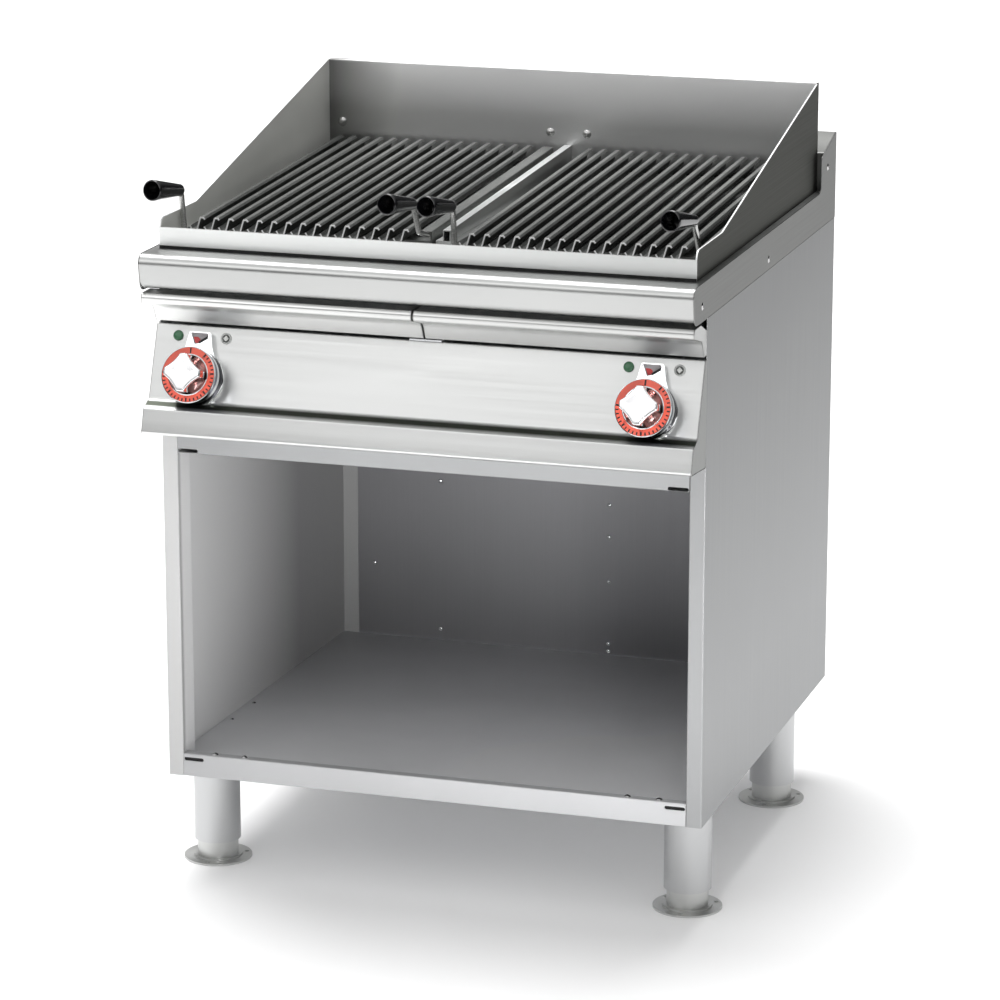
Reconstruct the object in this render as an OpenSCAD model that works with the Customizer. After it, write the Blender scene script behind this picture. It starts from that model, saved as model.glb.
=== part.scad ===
/* [Overall] */
// Width across the cabinet's side panels
unit_w = 800; // [780:1:820]
// Depth of the cabinet from its front face to its back face
body_d = 760; // [750:1:790]
// Height of the hob surface above the floor
hob_z = 933; // [928:1:940]
// Thickness of the cabinet's sheet steel
sheet = 1.5; // [1.2:0.1:1.6]

/* [Cabinet] */
// Height of the cabinet's lower edge above the floor
cab_z = 149; // [147:1:151]
// Height of the storage floor at its front edge
floor_z = 171; // [170:1:172]
// Slope of the storage floor, lower at the back
floor_fall = 1.55; // [1.3:0.05:1.55]
// Height of the beam along the front of the storage floor
lip_z = 183; // [182:1:184]
// Height of the lower edge of the header rail
rail_z = 633; // [627:1:636]
// Height of the ceiling of the storage space
ceiling_z = 646; // [644:1:650]
// Width of the front posts as seen from the front
post_w = 23; // [21:1:25]
// Depth of the front posts' return
post_d = 45; // [40:1:50]

/* [Legs] */
// Distance of a leg's axis from the centre plane
leg_x = 359; // [350:1:361]
// Distance of the front legs' axes behind the cabinet's face
leg_front_y = 84; // [75:1:95]
// Distance of the rear legs' axes behind the cabinet's face
leg_rear_y = 583; // [560:1:620]
// Length of the adjustable foot that shows below its sleeve
foot_show = 30; // [28:1:32]

/* [Hob and splash guard] */
// How far the bull-nose front stands out from the cabinet's face
nose_out = 78; // [76:1:80]
// Height of the bull-nose front
nose_h = 49.5; // [48:0.5:51]
// Height of the front lip above the hob
lip_h = 30; // [26:1:32]
// Height of the splash guard's top above the floor
guard_z = 1098; // [1080:1:1110]
// Distance of the splash guard's back wall behind the cabinet's face
guard_y = 682; // [680:1:683]

/* [Grates] */
// Number of profiled bars in one grate
bar_count = 15; // [13:1:15]
// Distance from one bar to the next
bar_pitch = 21.86; // [21.5:0.01:21.9]
// Length of the bars
bar_len = 588; // [570:1:590]
// Slope of the grates, lower at the front
grate_fall = 2.1; // [1.9:0.1:2.2]

/* [Controls and drawers] */
// Backward lean of the control panel from the vertical
panel_lean = 20.5; // [20:0.5:21]
// Distance of a knob's axis from the centre plane
knob_x = 329.5; // [322:0.5:332]
// Outer radius of a knob's dial ring
dial_r = 40; // [38:0.5:41]
// How far a knob's cap stands out from the control panel
knob_h = 66; // [64:1:69]
// Height of the drawer trays
tray_h = 38; // [34:1:39]
// Depth of the drawer trays
tray_d = 612; // [560:1:620]

/* [Hidden] */
$fn = 64;
side_x = unit_w / 2;
skin_x = side_x - sheet;
inner_x = skin_x - 0.2;
post_x = side_x - post_w;
gap = 0.3;
apron_z = hob_z - 53;
cab_top = apron_z - 0.4;

// control panel, measured down its slope from its upper front edge
panel_y = -10;
panel_z = 821;
panel_len = 105.7;
panel_dir = [-sin(panel_lean), -cos(panel_lean)];
knob_s = 73;
lamp_s = 14;
lamp_x = 36;
cap_r = 27;
dial_z = 37;
panel_bottom = [panel_y, panel_z] + panel_len * panel_dir;

// well, guard and grates
well_x = 386.9;
well_y0 = -21.5;
well_y1 = guard_y - 2.2;
well_z0 = 876;
guard_t = 2;
guard_x = 389;
divider_x = 16;
grate_x = 201.5;
grate_half = 183.5;
grate_y = guard_y - 14 - bar_len * cos(grate_fall);
grate_z = 960;
first_bar = -163.5;
bar_t = 2;
bar_drop = 17.7;
rod_r = 4;
rod_y = -25;
rod_x = [-179, 167];
elbow_z = 44;
grip_dir = [-0.18, -0.965, 0.19];
grip_len = 84;
elem_z = 924;
elem_r = 4.25;
elem_pitch = 42;
elem_passes = 8;
elem_y0 = grate_y + 34;
elem_y1 = well_y1 - 36;

// drawers
tray_x0 = 10;
tray_x1 = 388;
tray_z = 830;
tray_y = -12;
runner_z = tray_z - 0.4;
face_top = 877.5;
face_bottom = 828;

// legs
sleeve_r = 34;
tube_r = 30;
flange_r = 50;
plate_t = 3;
plate_half = 37;
bolt_r = 44;
stud_r = 7.95;
nut_z = 92;
legs = [[-leg_x, leg_front_y], [leg_x, leg_front_y], [-leg_x, leg_rear_y], [leg_x, leg_rear_y]];

// cable gland
gland_x = 300;
gland_z = 715;
gland_bore = 9;
gland_out = 12;

// the origin is on the floor, under the middle of the whole object
front_y = panel_y - sin(panel_lean) * (knob_s + cap_r) - cos(panel_lean) * knob_h;
mid_y = (front_y + body_d + gland_out) / 2;

steel = [0.78, 0.79, 0.8];
dark_steel = [0.42, 0.43, 0.42];
bright_steel = [0.86, 0.87, 0.88];
grip_black = [0.04, 0.04, 0.045];
dial_red = [0.86, 0.28, 0.18];

// ---- outlines ----

function unit(v) = v / norm(v);
function left_of(v) = [-v[1], v[0]];
function reversed(p) = [for (i = [len(p) - 1:-1:0]) p[i]];

// Points of the arc of radius r that rounds corner c between a and b
function arc(a, c, b, r) =
    let(u = unit(a - c), v = unit(b - c), turn = cross(u, v))
    r <= 0 || abs(turn) < 0.001 ? [c] :
    let(half = acos(u * v) / 2,
        middle = c + unit(u + v) * (r / sin(half)),
        spoke = c + u * (r / tan(half)) - middle,
        sweep = (turn > 0 ? -1 : 1) * (180 - 2 * half),
        steps = max(2, ceil(abs(sweep) / 12)))
    [for (k = [0:steps]) let(w = sweep * k / steps)
        middle + [spoke[0] * cos(w) - spoke[1] * sin(w), spoke[0] * sin(w) + spoke[1] * cos(w)]];

// Closed outline p with corner i rounded to r[i]
function rounded_loop(p, r) =
    let(n = len(p))
    [for (i = [0:n - 1]) each arc(p[(i + n - 1) % n], p[i], p[(i + 1) % n], r[i])];

// Open path p with corner i rounded to r[i]
function rounded_path(p, r) =
    let(last = len(p) - 1)
    [for (i = [0:last]) each (i == 0 || i == last ? [p[i]] : arc(p[i - 1], p[i], p[i + 1], r[i]))];

// Corner i of path p, moved d to its left
function shifted(p, i, d) =
    let(last = len(p) - 1,
        a = left_of(unit(p[max(i, 1)] - p[max(i, 1) - 1])),
        b = left_of(unit(p[min(i, last - 1) + 1] - p[min(i, last - 1)])),
        m = a + b)
    p[i] + m * (2 * d / (m * m));

function turns_left(p, i) = cross(p[i] - p[i - 1], p[i + 1] - p[i]) > 0 ? 1 : -1;

// Outline of sheet bent along path p, its thickness t to the left of the path, or to the right if t < 0
function bent(p, r, t) =
    let(last = len(p) - 1,
        q = [for (i = [0:last]) shifted(p, i, t)],
        s = [for (i = [0:last]) i == 0 || i == last ? 0 : max(0.2, r[i] - t * turns_left(p, i))])
    concat(rounded_path(p, r), reversed(rounded_path(q, s)));

// ---- placing ----

module along_x(x0, x1) {
    translate([x0, 0, 0]) rotate([90, 0, 90]) linear_extrude(x1 - x0) children();
}

module along_y(y0, y1) {
    translate([0, y1, 0]) rotate([90, 0, 0]) linear_extrude(y1 - y0) children();
}

module block(low, high) {
    translate(low) cube(high - low);
}

// Mirrors what is drawn for the right-hand side
module sided(side) {
    if (side < 0)
        mirror([1, 0, 0]) children();
    else
        children();
}

// Moves the front-face frame to the object's own origin
module place() {
    translate([0, -mid_y, 0]) children();
}

// Local frame on the control panel: +Z out of it, +Y up it
module on_panel(x, s) {
    translate([x, panel_y + s * panel_dir[0], panel_z + s * panel_dir[1]])
        rotate([90 - panel_lean, 0, 0]) children();
}

// Local frame of a grate: z = 0 is the top of its bars, y = 0 their front end
module on_grate(side) {
    translate([side * grate_x, grate_y, grate_z]) rotate([grate_fall, 0, 0]) children();
}

// ---- hardware ----

// Domed head of radius r and height h, its flat face at z = 0
module dome(r, h) {
    ball = (r * r + h * h) / (2 * h);
    difference() {
        translate([0, 0, h - ball]) sphere(ball, $fn = 48);
        translate([-2 * ball, -2 * ball, -4 * ball]) cube(4 * ball);
    }
}

// Pan-head screw with a hexagon recess, its head resting at z = 0
module pan_screw(head_r, head_h, shank_r, shank_l) {
    difference() {
        union() {
            dome(head_r, head_h);
            translate([0, 0, -shank_l]) cylinder(r = shank_r, h = shank_l + 0.1);
        }
        translate([0, 0, head_h * 0.35]) cylinder(r = head_r * 0.34, h = head_h, $fn = 6);
    }
}

module slot(length, width) {
    for (s = [-1, 1])
        translate([s * (length - width) / 2, 0]) circle(d = width);
    square([length - width, width], center = true);
}

// ---- cabinet ----

apron_screw_at = [[-30, 902], [341, 895], [706, 966]];
shelf_screw_x = [-331, -286, 290, 336];
wall_screw_y = [223, 316];
door_slot_x = 361;
door_slot_low = 175;
door_slot_high = rail_z + 4;
door_slot_l = 30;

module side_panel(side) {
    plan = [[post_x, post_d], [post_x, 0], [side_x, 0], [side_x, body_d - 1.2],
        [side_x - 26, body_d - 1.2]];
    color(steel) place() sided(side) {
        difference() {
            translate([0, 0, cab_z]) linear_extrude(cab_top - cab_z)
                polygon(bent(plan, [0, 2, 2, 2, 0], sheet));
            block([post_x - 1, -1, 811], [skin_x, post_d + 1, cab_top + 1]);
        }
        difference() {
            block([skin_x - 18, post_d + 1, cab_z], [skin_x, body_d - 60, cab_z + sheet]);
            for (y = [leg_front_y, leg_rear_y])
                block([leg_x - plate_half - 1, y - plate_half - 1, cab_z - 1],
                    [leg_x + plate_half + 1, y + plate_half + 1, cab_z + sheet + 1]);
        }
        block([well_x + 1.6, 20, cab_top - sheet], [skin_x, body_d - 10, cab_top]);
    }
}

// Height of the storage floor's upper and lower faces at depth y
function floor_at(y) = floor_z - (y - 16) * tan(floor_fall);
function floor_under(y) = floor_at(y) - sheet / cos(floor_fall);

module base_shelf() {
    y0 = post_d + 0.3;
    y1 = body_d - 3;
    beam = [[14, cab_z], [0, cab_z], [0, lip_z], [16, lip_z], [16, floor_z], [y1, floor_at(y1)]];
    color(bright_steel) place() difference() {
        union() {
            along_x(-post_x + 0.2, post_x - 0.2) polygon(bent(beam, [0, 1.7, 2, 1.7, 1, 0], -sheet));
            for (side = [-1, 1])
                sided(side) {
                    along_x(post_x - 0.3, inner_x)
                        polygon([[y0, floor_under(y0)], [y1, floor_under(y1)], [y1, floor_at(y1)],
                            [y0, floor_at(y0)]]);
                    along_x(inner_x - sheet, inner_x)
                        polygon([[y0, cab_z + 2], [body_d - 70, cab_z + 2],
                            [body_d - 70, floor_at(body_d - 70)], [y0, floor_at(y0)]]);
                }
        }
        for (side = [-1, 1]) {
            along_y(-1, sheet + 1) translate([side * door_slot_x, door_slot_low]) slot(door_slot_l, 5.4);
            block([side * door_slot_x - door_slot_l / 2 - 1.5, sheet + 1, door_slot_low - 3.2],
                [side * door_slot_x + door_slot_l / 2 + 1.5, 18, lip_z - 3]);
        }
        for (x = shelf_screw_x)
            translate([x, 8.5, lip_z - 3]) cylinder(r = 2.2, h = 5);
        for (side = [-1, 1], y = wall_screw_y)
            translate([side * 388, y, floor_at(y) - 3]) cylinder(r = 1.7, h = 5);
    }
}

module header_rail() {
    rail = [[20, 690], [0, 690], [0, rail_z], [30, rail_z], [30, rail_z + 10]];
    color(bright_steel) place() difference() {
        along_x(-post_x + 0.2, post_x - 0.2) polygon(bent(rail, [0, 2, 2, 2, 0], sheet));
        for (side = [-1, 1])
            along_y(-1, sheet + 1) translate([side * door_slot_x, door_slot_high]) slot(door_slot_l, 5.4);
    }
}

rivet_at = [[-347, 270], [-235, 169], [-235, 415], [46, 157], [46, 169], [46, 272], [46, 345], [46, 397]];

module back_panel() {
    louvre_rows = [690, 712, 734, 756, 778, 800];
    color(steel) place() difference() {
        block([-side_x + 0.6, body_d - 1.2, cab_z], [side_x - 0.6, body_d, cab_top]);
        for (xz = rivet_at)
            along_y(body_d - 2, body_d + 1) translate(xz) circle(r = 1.6);
        for (z = louvre_rows, x = [-240, -160, -80, 0])
            along_y(body_d - 2, body_d + 1) translate([x, z]) slot(60, 6);
        along_y(body_d - 2, body_d + 1) translate([gland_x, gland_z]) circle(r = 12.3);
    }
}

module back_rivets() {
    color(bright_steel) place()
        for (xz = rivet_at)
            translate([xz[0], body_d - 1.2, xz[1]]) rotate([90, 0, 0]) {
                dome(3.2, 1.4);
                translate([0, 0, -1.2]) cylinder(r = 1.5, h = 1.3);
            }
}

module compartment_floor() {
    color(steel) place() {
        block([-post_x + 0.2, 32, ceiling_z], [post_x - 0.2, body_d - 3, ceiling_z + sheet]);
        for (side = [-1, 1])
            sided(side)
                block([post_x - 0.3, post_d + 1, ceiling_z], [inner_x, body_d - 3, ceiling_z + sheet]);
    }
}

module panel_screws() {
    color(bright_steel) place() {
        for (x = shelf_screw_x)
            translate([x, 8.5, lip_z]) pan_screw(4.8, 2.6, 2.1, 6);
        for (side = [-1, 1], y = wall_screw_y)
            translate([side * 388, y, floor_at(y) + 0.1]) pan_screw(3, 1.6, 1.6, 5);
        for (side = [-1, 1], yz = apron_screw_at)
            translate([side * side_x, yz[0], yz[1]]) rotate([0, side * 90, 0]) pan_screw(5.4, 1.4, 2.6, 6);
    }
}

// ---- legs ----

module at_leg(i) {
    place() translate([legs[i][0], legs[i][1], 0]) children();
}

// Height of the underside of a leg's plate, which lies against the storage floor
function plate_z(i) = floor_under(legs[i][1] + plate_half) - plate_t - 0.05;

module leg_sleeve(i) {
    color(bright_steel) at_leg(i) {
        difference() {
            translate([0, 0, foot_show]) cylinder(r = sleeve_r, h = plate_z(i) - foot_show);
            translate([0, 0, foot_show - 1]) cylinder(r = sleeve_r - 2, h = plate_z(i) - foot_show + 2);
        }
        difference() {
            translate([0, 0, nut_z]) cylinder(r = sleeve_r - 1, h = 12);
            translate([0, 0, nut_z - 1]) cylinder(r = stud_r + 0.05, h = 14);
        }
        difference() {
            translate([0, 0, plate_z(i)]) linear_extrude(plate_t) square(2 * plate_half, center = true);
            for (a = [45:90:315])
                rotate(a) translate([bolt_r, 0, plate_z(i) - 1]) cylinder(r = 3.2, h = plate_t + 2);
        }
    }
}

module leg_bolts() {
    color(steel)
        for (i = [0:3], a = [45:90:315])
            at_leg(i) rotate(a) translate([bolt_r, 0, 0]) {
                translate([0, 0, plate_z(i) - 4]) cylinder(r = 5.5, h = 4, $fn = 6);
                translate([0, 0, plate_z(i) - 4]) cylinder(r = 3, h = plate_t + 3.9);
            }
}

module foot(i) {
    top = nut_z - 32;
    color(bright_steel) at_leg(i) {
        difference() {
            union() {
                cylinder(r = flange_r, h = 3);
                cylinder(r = tube_r + 6, h = 5.5);
                cylinder(r = tube_r, h = top);
            }
            translate([0, 0, -1]) cylinder(r = tube_r - 2, h = top - 2);
            for (a = [30:120:270])
                rotate(a) translate([43, 0, -1]) cylinder(r = 3.5, h = 5);
        }
        translate([0, 0, top - 1]) cylinder(r = stud_r, h = 64);
    }
}

// ---- hob ----

module hob_top() {
    nose = [[guard_y + 8, hob_z - 3.5], [guard_y + 8, hob_z], [-nose_out, hob_z],
        [8 - nose_out, hob_z - nose_h], [-30, hob_z - nose_h], [-30, hob_z - nose_h + 9]];
    cheek = [[-40, apron_z], [8 - nose_out, apron_z + 1], [-nose_out, hob_z + 0.5], [666, hob_z + 0.5],
        [666, hob_z + 53], [body_d, hob_z + 79], [body_d, apron_z]];
    color(steel) place() difference() {
        union() {
            along_x(-skin_x - 0.1, skin_x + 0.1) polygon(bent(nose, [0, 1.7, 14, 15, 2, 0], sheet));
            for (side = [-1, 1])
                sided(side) along_x(skin_x, side_x)
                    polygon(rounded_loop(cheek, [2, 14, 14, 12, 6, 3, 0]));
        }
        block([-well_x - 0.3, well_y0 - 0.3, hob_z - 10], [well_x + 0.3, well_y1 + 0.3, hob_z + 10]);
        for (side = [-1, 1], yz = apron_screw_at)
            translate([side * side_x, yz[0], yz[1]]) rotate([0, 90, 0])
                cylinder(r = 2.8, h = 8, center = true);
    }
}

module rear_upstand() {
    slope = 26 / (body_d - 666);
    face_y = guard_y + 1.5;
    back_y = body_d - 1.3;
    hood = [[face_y, hob_z], [face_y, hob_z + 53 + slope * (face_y - 666)],
        [back_y, hob_z + 53 + slope * (back_y - 666)], [back_y, apron_z]];
    slots = 12;
    slot_pitch = 62;
    color(steel) place() difference() {
        along_x(-skin_x + 0.2, skin_x - 0.2) polygon(bent(hood, [0, 3, 2, 0], -sheet));
        for (k = [0:slots - 1])
            block([(k - slots / 2) * slot_pitch + 3, face_y + 12, hob_z + 40],
                [(k - slots / 2 + 1) * slot_pitch - 3, back_y - 13, hob_z + 90]);
    }
}

module splash_guard_side(side) {
    wall = [[-20, hob_z], [-20, 975], [115, 975], [guard_y, guard_z], [guard_y, hob_z]];
    color(dark_steel) place() sided(side)
        along_x(guard_x - guard_t, guard_x) polygon(rounded_loop(wall, [0, 13, 30, 2, 0]));
}

guard_bolt_x = [-366, -29, 29, 366];
guard_bolt_z = 1001;

module splash_guard_back() {
    wall = [[guard_y - guard_t, hob_z], [guard_y - guard_t, guard_z], [guard_y + 9, guard_z],
        [guard_y + 9, guard_z - 8]];
    color(dark_steel) place() difference() {
        along_x(-guard_x + guard_t, guard_x - guard_t) polygon(bent(wall, [0, 3, 3, 0], -guard_t));
        for (x = guard_bolt_x)
            along_y(guard_y - 4, guard_y + 2) translate([x, guard_bolt_z]) circle(r = 4.3);
    }
}

module guard_bolts() {
    color(bright_steel) place()
        for (x = guard_bolt_x)
            translate([x, guard_y - guard_t, guard_bolt_z]) rotate([90, 0, 0]) {
                pan_screw(6.8, 4.2, 4.1, 16);
                translate([0, 0, -guard_t - 5]) difference() {
                    cylinder(r = 7.2, h = 5, $fn = 6);
                    translate([0, 0, -1]) cylinder(r = 3.9, h = 7);
                }
            }
}

module well_frame() {
    color(dark_steel) place() difference() {
        union() {
            along_y(well_y0, well_y0 + sheet)
                polygon([[-well_x, well_z0], [well_x, well_z0], [well_x, hob_z + 0.1],
                    [guard_x, hob_z + 0.1], [guard_x, hob_z + lip_h], [-guard_x, hob_z + lip_h],
                    [-guard_x, hob_z + 0.1], [-well_x, hob_z + 0.1]]);
            block([-guard_x + guard_t + 0.2, well_y0, hob_z + lip_h - 2],
                [guard_x - guard_t - 0.2, well_y0 + 3.6, hob_z + lip_h]);
            for (side = [-1, 1])
                sided(side) {
                    block([well_x - sheet, well_y0, well_z0], [well_x, well_y1, hob_z + 12]);
                    block([well_x - 14, well_y0, well_z0], [well_x, well_y1, well_z0 + sheet]);
                }
            block([-well_x, well_y1 - sheet, well_z0], [well_x, well_y1, hob_z + 12]);
            for (y = [well_y0, well_y1 - 14])
                block([-well_x, y, well_z0], [well_x, y + 14, well_z0 + sheet]);
            for (side = [-1, 1], y = rest_y)
                sided(side)
                    block([well_x - sheet - 14, y - 8, rest_top(y) - 9], [well_x - 1, y + 8, rest_top(y)]);
        }
        for (side = [-1, 1], k = [0, elem_passes - 1])
            along_y(well_y1 - 3, well_y1 + 3) translate([side * grate_x + pass_x(k), elem_z])
                circle(r = elem_r + 0.2);
    }
}

function ridge_z(y) = grate_z + (y - grate_y) * tan(grate_fall);

// Brackets on the well's walls and on the divider that carry the grates' side rails
rest_y = [68, 634];
function rest_top(y) = ridge_z(y - 8) - 34.4;

module centre_divider() {
    y0 = grate_y + 4;
    y1 = well_y1 - sheet - 0.2;
    color(bright_steel) place() {
        difference() {
            block([-divider_x, y0, well_z0 + sheet + 0.2], [divider_x, y1, 946]);
            block([-divider_x + sheet, y0 + sheet, well_z0], [divider_x - sheet, y1 + 1, 946 - sheet]);
        }
        for (side = [-1, 1], y = [rest_y[0] + 26, rest_y[1]])
            sided(side)
                block([divider_x - 0.5, y - 8, rest_top(y) - 9], [divider_x + 12, y + 8, rest_top(y)]);
        difference() {
            along_x(-5.5, 5.5)
                polygon([[y0, 945.9], [y1, 945.9], [y1, ridge_z(y1) + 1], [y0, ridge_z(y0) + 1]]);
            along_x(-4.3, 4.3)
                polygon([[y0 - 1, 946], [y1 - 2, 946], [y1 - 2, ridge_z(y1) - 0.4],
                    [y0 - 1, ridge_z(y0) - 0.4]]);
        }
    }
}

// ---- heating elements ----

function pass_x(k) = (k - (elem_passes - 1) / 2) * elem_pitch;

module element(side) {
    bend_r = elem_pitch / 2;
    last = elem_passes - 1;
    color(dark_steel) place() translate([side * grate_x, 0, elem_z]) {
        for (k = [0:last]) {
            y1 = k == 0 || k == last ? well_y1 + 22 : elem_y1;
            translate([pass_x(k), elem_y0, 0]) rotate([-90, 0, 0])
                cylinder(r = elem_r, h = y1 - elem_y0, $fn = 32);
        }
        for (k = [0:last - 1])
            translate([pass_x(k) + bend_r, k % 2 == 0 ? elem_y0 : elem_y1, 0])
                rotate(k % 2 == 0 ? 180 : 0)
                    rotate_extrude(angle = 180) translate([bend_r, 0]) circle(r = elem_r, $fn = 32);
        for (k = [0, last])
            translate([pass_x(k), well_y1 + 0.2, 0]) rotate([-90, 0, 0]) cylinder(r = 7, h = 6, $fn = 6);
    }
}

module element_supports() {
    color(steel) place()
        for (side = [-1, 1], y = [elem_y0 + 40, (elem_y0 + elem_y1) / 2, elem_y1 - 40])
            sided(side) block([divider_x + 0.2, y - 7, elem_z - elem_r - 3.1],
                [well_x - sheet - 0.2, y + 7, elem_z - elem_r - 0.1]);
}

// ---- grates ----

// One bar of folded sheet: small flange, valley, ridge and lip
bar_path = [[-17.9, 4.4 - bar_drop], [-15.1, -bar_drop], [-8.5, -bar_drop], [-3, 0], [3, 0], [5.2, -2.8]];

module grate_bars(side) {
    color(dark_steel) place() on_grate(side)
        for (k = [0:bar_count - 1])
            translate([first_bar + k * bar_pitch, 0, 0])
                along_y(0, bar_len) polygon(bent(bar_path, [0, 1, 1, 1.2, 1.2, 0], -bar_t));
}

module grate_frame(side) {
    low = -bar_drop - bar_t - 0.02;
    ledge_x0 = first_bar + (bar_count - 1) * bar_pitch + 22;
    color(dark_steel) place() on_grate(side) {
        block([-grate_half, rod_y + 2, -34], [-grate_half + 3, bar_len, low]);
        block([grate_half - 5.5, rod_y + 2, -34], [grate_half - 2.5, bar_len, low + 0.1]);
        block([-grate_half, rod_y + 2, -34], [grate_half - 2.5, rod_y + 5, -22]);
        for (y = [20, bar_len - 50])
            block([-grate_half, y, low - 3], [grate_half - 2.5, y + 22, low]);
        along_y(0, bar_len) polygon(bent([[ledge_x0, -1], [grate_half - 2.5, -1], [grate_half - 2.5, low]],
            [0, 1.5, 0], -bar_t));
    }
}

module along_grip() {
    turn = atan2(-grip_dir[0], -grip_dir[1]);
    lift = asin(grip_dir[2] / norm(grip_dir));
    rotate([0, 0, -turn]) rotate([90 - lift, 0, 0]) children();
}

module handle_rods(side) {
    foot_z = [-22, -3];
    bend_r = rod_r + 0.3;
    color(steel) place() on_grate(side)
        for (i = [0, 1])
            translate([rod_x[i], rod_y - 2, 0]) {
                translate([0, 0, foot_z[i]]) cylinder(r = rod_r, h = elbow_z - foot_z[i]);
                translate([0, 0, elbow_z]) {
                    sphere(bend_r);
                    along_grip() cylinder(r = rod_r, h = 46);
                }
                if (i == 0)
                    translate([0, 0, -28]) cylinder(r = rod_r, h = 6.1);
                else {
                    translate([0, 0, foot_z[1]]) sphere(bend_r);
                    translate([0, 0, foot_z[1]]) rotate([0, 0, atan2(26.8, 8)]) rotate([0, 90 + 6, 0])
                        cylinder(r = rod_r, h = 28);
                }
            }
}

module handle_grips(side) {
    wall = [[rod_r + 0.05, 9], [8.5, 9], [10.2, 10.5], [11.2, 14], [12.8, 40], [14.6, 70],
        [15, grip_len - 1.4], [14.2, grip_len], [13, grip_len], [12.4, grip_len - 1.2], [11.8, 48],
        [rod_r + 0.05, 48]];
    color(grip_black) place() on_grate(side)
        for (x = rod_x)
            translate([x, rod_y - 2, elbow_z]) along_grip() rotate_extrude() polygon(wall);
}

// ---- drawers ----

module drawer_front(side) {
    lip = [[-34, face_top], [-70, face_top], [-69.5, face_top - 14], [-27, face_top - 26],
        [-15, face_bottom], [-3, face_bottom]];
    lip_r = [0, 7.5, 6, 12, 2, 0];
    end = concat([[-4, face_top - 14], [-34, face_top - 1]], rounded_path(lip, lip_r));
    x0 = 1.2;
    x1 = side_x - 0.7;
    color(bright_steel) place() sided(side) difference() {
        union() {
            along_x(x0, x1) polygon(bent(lip, lip_r, sheet));
            for (x = [x0, x1 - sheet])
                along_x(x, x + sheet) polygon(end);
            block([x0 + 0.1, tray_y - sheet, tray_z + 1], [x1 - 0.1, tray_y, face_top - 17.5]);
        }
        block([0, -90, face_bottom - 1], [4, 0, face_bottom + 15]);
    }
}

module drawer_tray(side) {
    color(steel) place() sided(side) difference() {
        block([tray_x0, tray_y, tray_z], [tray_x1, tray_y + tray_d, tray_z + tray_h]);
        block([tray_x0 + sheet, tray_y + sheet, tray_z + sheet],
            [tray_x1 - sheet, tray_y + tray_d - sheet, tray_z + tray_h + 1]);
    }
}

module drawer_runners() {
    y1 = tray_y + tray_d + 20;
    color(steel) place()
        for (side = [-1, 1])
            sided(side) {
                block([tray_x1 - 16, 12, runner_z - sheet], [inner_x, y1, runner_z]);
                block([inner_x - sheet, 12, runner_z - sheet], [inner_x, y1, runner_z + 26]);
            }
}

module drawer_centre_post() {
    y1 = tray_y + tray_d + 20;
    color(bright_steel) place() {
        block([-22, 3, runner_z - sheet], [22, y1, runner_z]);
        block([-23.5, -11, panel_z + 2], [23.5, 14, panel_z + 4.6]);
        block([-23.5, 6, panel_z + 2], [23.5, 14, runner_z]);
        block([-2, 12, runner_z - 0.1], [2, y1, well_z0 - 0.4]);
    }
}

module heat_shield() {
    color(steel) place() {
        block([-inner_x, 22, 812], [inner_x, body_d - 30, 813]);
        for (side = [-1, 1])
            sided(side) block([inner_x - 1, post_d + 1, 812], [inner_x, body_d - 30, 822]);
    }
}

// ---- controls ----

module control_panel() {
    groove = panel_bottom + [-21, -10];
    skin = [[30, panel_z + 2], [panel_y + 2 * tan(panel_lean), panel_z + 2], panel_bottom, groove,
        groove + [-11, -35], [-1, 670], [-1, 682]];
    end = [for (p = rounded_path(skin, [0, 3, 5, 3, 4, 0, 0])) if (p[0] < -0.5 && p[1] != 682) p];
    color(bright_steel) place() difference() {
        union() {
            along_x(-side_x + 0.2, side_x - 0.2) polygon(bent(skin, [0, 3, 5, 3, 4, 1, 0], sheet));
            for (side = [-1, 1])
                sided(side) along_x(side_x - 0.2 - sheet, side_x - 0.2)
                    polygon(concat(end, [[-0.6, 670], [-0.6, panel_z + 2]]));
        }
        for (side = [-1, 1]) {
            sided(side) block([post_x - 5, -0.5, 600], [side_x + 1, 60, 900]);
            on_panel(side * knob_x, knob_s) translate([0, 0, -5]) cylinder(r = 5.2, h = 10);
            for (k = [-1, 1])
                on_panel(side * knob_x + k * lamp_x, lamp_s) translate([0, 0, -5])
                    cylinder(r = 5.6, h = 10);
        }
    }
}

// Fixed chromed ring behind a dial, with its index window above, cut away below over the panel's ledge
module bezel(side) {
    ledge_clear = 2.4;
    ledge_h = 7.5;
    color(bright_steel) place() on_panel(side * knob_x, knob_s) difference() {
        union() {
            cylinder(r = dial_r, h = 4);
            cylinder(r = dial_r - 1.2, h = 17);
            linear_extrude(10)
                polygon(rounded_loop([[-26, 28], [26, 28], [16, 65], [-16, 65]], [0, 0, 3, 3]));
        }
        translate([0, 0, 6]) cylinder(r = dial_r - 5, h = 20);
        translate([0, 0, -1]) cylinder(r = 5.2, h = 10);
        translate([0, 0, 5]) linear_extrude(20)
            polygon(rounded_loop([[-13, 63], [-3, 46], [4, 46], [13, 63]], [1, 1, 1, 1]));
        translate([-30, -45, -1]) cube([60, 45 + knob_s - panel_len + ledge_clear, 1 + ledge_h]);
    }
}

// Red scale ring that turns with the knob
module dial(side) {
    color(dial_red) place() on_panel(side * knob_x, knob_s) translate([0, 0, dial_z]) difference() {
        cylinder(r = dial_r - 1, h = 2.2);
        translate([0, 0, -1]) cylinder(r = dial_r - 12, h = 5);
    }
}

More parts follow.
